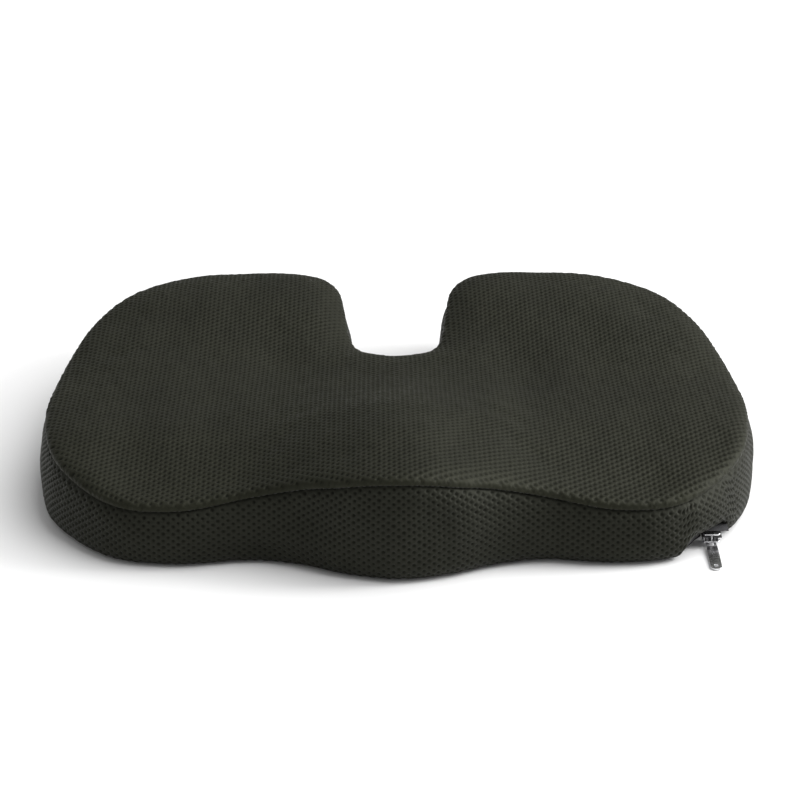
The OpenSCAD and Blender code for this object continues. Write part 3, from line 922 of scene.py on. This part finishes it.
def tape(side, node):
    across = np.linspace(1.1, TAPE_HALF, 24)
    ys = np.arange(ZIP_START, ZIP_END + 0.1, 1.5)
    if side > 0:
        reach = np.minimum(ZIP_X + TAPE_HALF, rim_x(ys)) - ZIP_X
        reach = np.maximum(np.where(ys < ZIP_START + 12, FLANGE_EDGE, reach), 5.0)
    else:
        reach = np.where(ys < ZIP_START + 9, FLANGE_EDGE, TAPE_HALF)
    x = np.minimum(across[None], reach[:, None])
    ridge = 0.10 * np.cos(across * 2 * math.pi / 1.7)[None] * smooth(3.5, 5, across)[None]
    waves = 0.05 * np.sin(ys[:, None] * 0.9 + across[None])
    lower = np.stack([ZIP_X + side * x, np.broadcast_to(ys[:, None], x.shape),
                      TAPE_Z + ridge + waves], -1)
    upper = lower + np.array([0, 0, TAPE_T])
    size = len(across)
    quads = ring_quads(len(ys), size, closed=False)
    count = len(ys) * size
    edge_faces = []
    for k in range(len(ys) - 1):
        for col in (0, size - 1):
            a, b = k * size + col, (k + 1) * size + col
            edge_faces.append([a, b, b + count, a + count])
    for k in range(size - 1):
        for row in (0, (len(ys) - 1) * size):
            a, b = row + k, row + k + 1
            edge_faces.append([a, b, b + count, a + count])
    faces = np.vstack([quads, quads[:, ::-1] + count, np.array(edge_faces)])
    piece = make(f"tape_{'inner' if side < 0 else 'outer'}",
                 np.vstack([lower.reshape(-1, 3), upper.reshape(-1, 3)]), faces)
    piece.data.materials.append(TAPE)
    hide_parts(node)
    recalc(piece)


def recalc(piece, merge=1e-7):
    """Joins points closer than merge, in metres, and turns all faces outward."""
    bm = bmesh.new()
    bm.from_mesh(piece.data)
    bmesh.ops.remove_doubles(bm, verts=bm.verts, dist=merge)
    bmesh.ops.recalc_face_normals(bm, faces=bm.faces)
    bm.to_mesh(piece.data)
    bm.free()


COIL_PITCH = 1.45


def coil(side, node):
    turns = int((ZIP_TRAVEL + 1) / COIL_PITCH)
    steps = 12
    phase = np.arange(turns * steps + 1) / steps
    a = phase * 2 * math.pi
    x = 1.98 + 1.10 * np.cos(a)
    z = COIL_Z + 0.78 * np.sin(a)
    y = ZIP_Y + 4 + (phase + (0.5 if side > 0 else 0.0)) * COIL_PITCH
    points, quads = tube(np.column_stack([ZIP_X + side * x, y, z]), 0.32, 6)
    core, core_quads = tube(np.column_stack([ZIP_X + side * np.full(60, 2.1),
                                             np.linspace(y[0], y[-1], 60), np.full(60, COIL_Z)]),
                            0.42, 8)
    points, quads = np.vstack([points, core]), np.vstack([quads, core_quads + len(points)])
    piece = make(f"coil_{'inner' if side < 0 else 'outer'}_turns", points, quads)
    piece.data.materials.append(COIL)
    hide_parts(node)


for side, word in ((-1, "inner"), (1, "outer")):
    tape(side, f"zip_tape_{word}")
    coil(side, f"zip_coil_{word}")

for number, row in enumerate((5.2, 8.0)):
    for side in (-1, 1):
        def along_tape(s, side=side, row=row):
            x = ZIP_X + side * row * np.ones(len(s))
            z = (FLANGE_Z - 0.12 if row > 6 else TAPE_Z - 0.15) * np.ones(len(s))
            return np.column_stack([x, s, z]), np.tile([0.0, 0.0, -1.0], (len(s), 1))
        stitches(f"zip_stitches_{number}_{'inner' if side < 0 else 'outer'}", 2.8, 2.2, 0.34,
                 along_tape, s0=ZIP_START + 14, s1=ZIP_END - 14 if side > 0 else ZIP_END - 2)


def soften(piece, width):
    """Rounds a piece's edges."""
    rounded = piece.modifiers.new("round", "BEVEL")
    rounded.width, rounded.segments, rounded.limit_method = width * MM, 3, "ANGLE"


def extruded(name, outline, z0, z1, bevel):
    """A flat metal plate of the slider from an outline, its edges rounded."""
    bm = bmesh.new()
    low = [bm.verts.new((x * MM, y * MM, z0 * MM)) for x, y in outline]
    bm.faces.new(low)
    grown = bmesh.ops.extrude_face_region(bm, geom=bm.faces[:])
    bmesh.ops.translate(bm, verts=[v for v in grown["geom"] if isinstance(v, bmesh.types.BMVert)],
                        vec=(0, 0, (z1 - z0) * MM))
    bmesh.ops.recalc_face_normals(bm, faces=bm.faces)
    mesh = bpy.data.meshes.new(name)
    bm.to_mesh(mesh)
    bm.free()
    piece = add(name, mesh)
    soften(piece, bevel)
    mesh.polygons.foreach_set("use_smooth", np.full(len(mesh.polygons), True))
    weighted = piece.modifiers.new("normals", "WEIGHTED_NORMAL")
    weighted.keep_sharp = True
    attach(piece, "slider")
    mesh.materials.append(METAL)
    return piece


def shield(z0, z1, name):
    half = [(4.2, -5.5), (5.3, -4.3), (5.3, -0.5), (4.6, 4.7), (3.8, 5.5)]
    outline = [(-5.3, -4.3), (-4.2, -5.5)] + half + [(-3.8, 5.5), (-4.6, 4.7), (-5.3, -0.5)]
    return extruded(name, [(ZIP_X + x, ZIP_Y + y) for x, y in outline], z0, z1, 0.3)


outer_plate = shield(3.2, 4.4, "slider_outer_plate")
shield(8.0, 9.2, "slider_inner_plate")
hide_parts("zip_slider")
extruded("slider_wedge", [(ZIP_X + x, ZIP_Y + y) for x, y in
                          [(-0.45, -5.2), (0.45, -5.2), (0.3, -1.6), (-0.3, -1.6)]],
         4.2, 8.2, 0.15)
for side in (-1, 1):
    extruded(f"slider_rail_{'inner' if side < 0 else 'outer'}",
             [(ZIP_X + side * 4.35 + x, ZIP_Y + y) for x, y in
              [(-0.4, -3.9), (0.4, -3.9), (0.4, 3.9), (-0.4, 3.9)]],
             4.2, 6.3, 0.18)

# The bridge: a strap that rises from both ends of the outer plate and holds the pull.
profile = [(-4.7, 3.5), (-4.55, 2.0), (-4.1, 1.1), (-3.2, 0.8), (3.2, 0.8), (4.1, 1.1), (4.55, 2.0),
           (4.7, 3.5)]
inner_profile = [(-3.7, 3.5), (-3.7, 2.3), (-3.4, 1.75), (-2.9, 1.62), (2.9, 1.62), (3.4, 1.75),
                 (3.7, 2.3), (3.7, 3.5)]
rings = []
for (y0, z0), (y1, z1) in zip(profile, inner_profile):
    rings.append([[ZIP_X - 1, ZIP_Y + y0, z0], [ZIP_X + 1, ZIP_Y + y0, z0],
                  [ZIP_X + 1, ZIP_Y + y1, z1], [ZIP_X - 1, ZIP_Y + y1, z1]])
bridge = make("slider_bridge", np.array(rings).reshape(-1, 3), ring_quads(len(rings), 4),
              "slider")
bridge.data.materials.append(METAL)
recalc(bridge)
soften(bridge, 0.2)

# The pull: a tab with an eye that hangs on the bridge, a rounded end and a hole in it.
PULL_L, PULL_Z, DIP = 35.0, 2.4, math.radians(2.5)
TAB_R, TAB_T, TAB_BEVEL, HOLE_R = 3.5, 1.0, 0.14, 1.5


def pull():
    side = [(2.9, 0.55), (2.9, -0.6), (3.1, -6), (TAB_R, -12), (TAB_R, TAB_R - PULL_L)]
    end = [(TAB_R * math.cos(a), TAB_R - PULL_L - TAB_R * math.sin(a))
           for a in (math.pi * k / 16 for k in range(1, 16))]
    outer = side + end + [(-x, y) for x, y in reversed(side)]
    eye = [(1.6, -0.65), (1.6, -6.6), (1.0, -7.5), (-1.0, -7.5), (-1.6, -6.6), (-1.6, -0.65)]
    ring = [(HOLE_R * math.cos(a), 4 - PULL_L + HOLE_R * math.sin(a))
            for a in (2 * math.pi * k / 24 for k in range(24))]
    curve = bpy.data.curves.new("pull_tab", "CURVE")
    curve.dimensions = "2D"
    curve.fill_mode = "BOTH"
    for loop in (outer, eye, ring):
        line = curve.splines.new("POLY")
        line.points.add(len(loop) - 1)
        for point, (x, y) in zip(line.points, loop):
            point.co = (x * MM, y * MM, 0, 1)
        line.use_cyclic_u = True
    curve.extrude = (TAB_T / 2 - TAB_BEVEL) * MM
    curve.bevel_depth = TAB_BEVEL * MM
    curve.offset = -TAB_BEVEL * MM
    curve.bevel_resolution = 3
    holder = add("pull_curve", curve)
    depsgraph = bpy.context.evaluated_depsgraph_get()
    mesh = bpy.data.meshes.new_from_object(holder.evaluated_get(depsgraph))
    bpy.data.objects.remove(holder)
    piece = add("zip_pull_tab", mesh)
    c, s = math.cos(DIP), math.sin(DIP)
    for v in mesh.vertices:
        x, y, z = v.co
        v.co = (x + ZIP_X * MM, ZIP_Y * MM + y * c - z * s, PULL_Z * MM + y * s + z * c)
    recalc(piece, 2e-6)
    mesh.materials.clear()
    mesh.materials.append(METAL)
    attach(piece, "pull")
    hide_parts("zip_pull")
    bar_points, bar_quads = tube([[ZIP_X - 2.7, ZIP_Y, PULL_Z], [ZIP_X, ZIP_Y, PULL_Z],
                                  [ZIP_X + 2.7, ZIP_Y, PULL_Z]], 0.66, 16)
    bar = make("pull_cross_bar", bar_points, bar_quads, "pull")
    bar.data.materials.append(METAL)


pull()

for node in ("zip_top_stops", "zip_bottom_stop"):
    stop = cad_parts[node]
    stop.data.materials.clear()
    stop.data.materials.append(METAL)
    soften(stop, 0.25)

# ---------------------------------------------------------------- foam core inside the cover
FOAM_IN = 3.9


def foam_base(xy, depth=None):
    """The foam's underside, hollowed over the zip. Depth isn't used: cap() hands it over."""
    slot = np.interp(np.abs(xy[:, 0] - ZIP_X), [11.5, 22, 30], [10.2, 4.0, FOAM_IN])
    near_arch = arch(xy) * 0.9
    return np.maximum(slot, FOAM_IN + near_arch)


t = np.linspace(0, 2 * HALF, 221)[:-1]
foam_rings = []
lift_arch = arch(spline(t))
for a in (90, 60, 30, 0):
    r = math.radians(a)
    p = inset(t, np.full(len(t), FOAM_IN + RIM_INSET * (1 - math.cos(r))))
    foam_rings.append(np.column_stack([p, lift_arch + BASE_Z + (FOAM_IN - BASE_Z) * math.sin(r)
                                       + RIM_R * (1 - math.sin(r))]))
for w in (0.25, 0.5, 0.75, 1.0):
    p = inset(t, np.full(len(t), FOAM_IN + SEAM_INSET * w * w))
    z = lift_arch + BASE_Z + RIM_R
    foam_rings.append(np.column_stack([p, z + (seam_z(t) - 3.2 - z) * w]))
FOAM_LINE = inset(t, np.full(len(t), SEAM_INSET + FOAM_IN + 0.6))
foam_rings.append(np.column_stack([FOAM_LINE, seam_z(t) - 2.0]))
foam_points = np.vstack(foam_rings)
foam_points[:, 2] = np.maximum(foam_points[:, 2], foam_base(foam_points[:, :2]))
foam_quads = ring_quads(len(foam_rings), len(t))
lower_line = inset(t, np.full(len(t), FOAM_IN + RIM_INSET))


def foam_top(xy, depth):
    """The foam's top, level with the cover's but lower. Depth isn't used either."""
    e, _ = polygon_distance(xy, SEAM_LINE)
    return top_level(xy, np.maximum(e, 0)) - FOAM_IN - 0.4


cap_top, cap_top_faces = cap(FOAM_LINE, foam_top, False)
cap_low, cap_low_faces = cap(lower_line, foam_base, True)
foam_faces = np.vstack([foam_quads[:, [0, 1, 2]], foam_quads[:, [0, 2, 3]],
                        cap_top_faces + len(foam_points),
                        cap_low_faces + len(foam_points) + len(cap_top)])
foam = make("foam_block", np.vstack([foam_points, cap_top, cap_low]), foam_faces)
foam.data.materials.append(FOAM)
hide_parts("foam_core")

# ---------------------------------------------------------------- floor, light and camera
floor_mesh = bpy.data.meshes.new("floor")
floor_mesh.from_pydata([(-30, -30, 0), (30, -30, 0), (30, 30, 0), (-30, 30, 0)], [],
                       [(0, 1, 2, 3)])
floor = add("floor", floor_mesh)
floor_material, node, link, shader = material("floor_white")
mottle = node("TexNoise", Scale=3.0, Detail=2.0)
where = node("TexCoord")
link(where.outputs["Object"], mottle.inputs["Vector"])
paper = ramp(node, [(0.3, (0.86, 0.86, 0.86)), (0.7, (0.90, 0.90, 0.90))])
link(mottle.outputs["Fac"], paper.inputs["Fac"])
link(paper.outputs["Color"], shader.inputs["Base Color"])
shader.inputs["Roughness"].default_value = 0.9
shader.inputs["Specular IOR Level"].default_value = 0.1
floor.data.materials.append(floor_material)

world = bpy.data.worlds.new("studio")
bpy.context.scene.world = world
world.use_nodes = True
world.node_tree.nodes["Background"].inputs["Color"].default_value = (1, 1, 1, 1)
world.node_tree.nodes["Background"].inputs["Strength"].default_value = 0.42
bpy.context.scene.view_settings.view_transform = "Standard"


def area_light(name, place, aim, size, power):
    data = bpy.data.lights.new(name, "AREA")
    data.shape, data.size, data.size_y = "RECTANGLE", size[0], size[1]
    data.energy = power
    lamp = add(name, data)
    lamp.location = place
    lamp.rotation_mode = "QUATERNION"
    lamp.rotation_quaternion = (Vector(aim) - Vector(place)).to_track_quat("-Z", "Y")


sun = bpy.data.lights.new("overhead", "SUN")
sun.energy, sun.angle = 2.7, math.radians(60)
overhead = add("overhead", sun)
overhead.rotation_euler = (math.radians(-4), math.radians(33), 0)
area_light("key", (1.5, 0.0, 0.62), (0.14, 0, 0.04), (0.4, 1.2), 20)

camera_data = bpy.data.cameras.new("camera")
camera = add("camera", camera_data)
bpy.context.scene.camera = camera
AZIMUTH, ELEVATION, DISTANCE = math.radians(-0.5), math.radians(24.6), 1.7
back = Vector((math.sin(AZIMUTH) * math.cos(ELEVATION), -math.cos(AZIMUTH) * math.cos(ELEVATION),
               math.sin(ELEVATION)))
target = Vector((0.0023, 0, 0.0399))
camera.location = target + back * DISTANCE
camera.rotation_mode = "QUATERNION"
camera.rotation_quaternion = (-back).to_track_quat("-Z", "Y")
camera_data.sensor_width = 36
camera_data.lens = 118.7
camera_data.clip_start, camera_data.clip_end = 0.05, 100
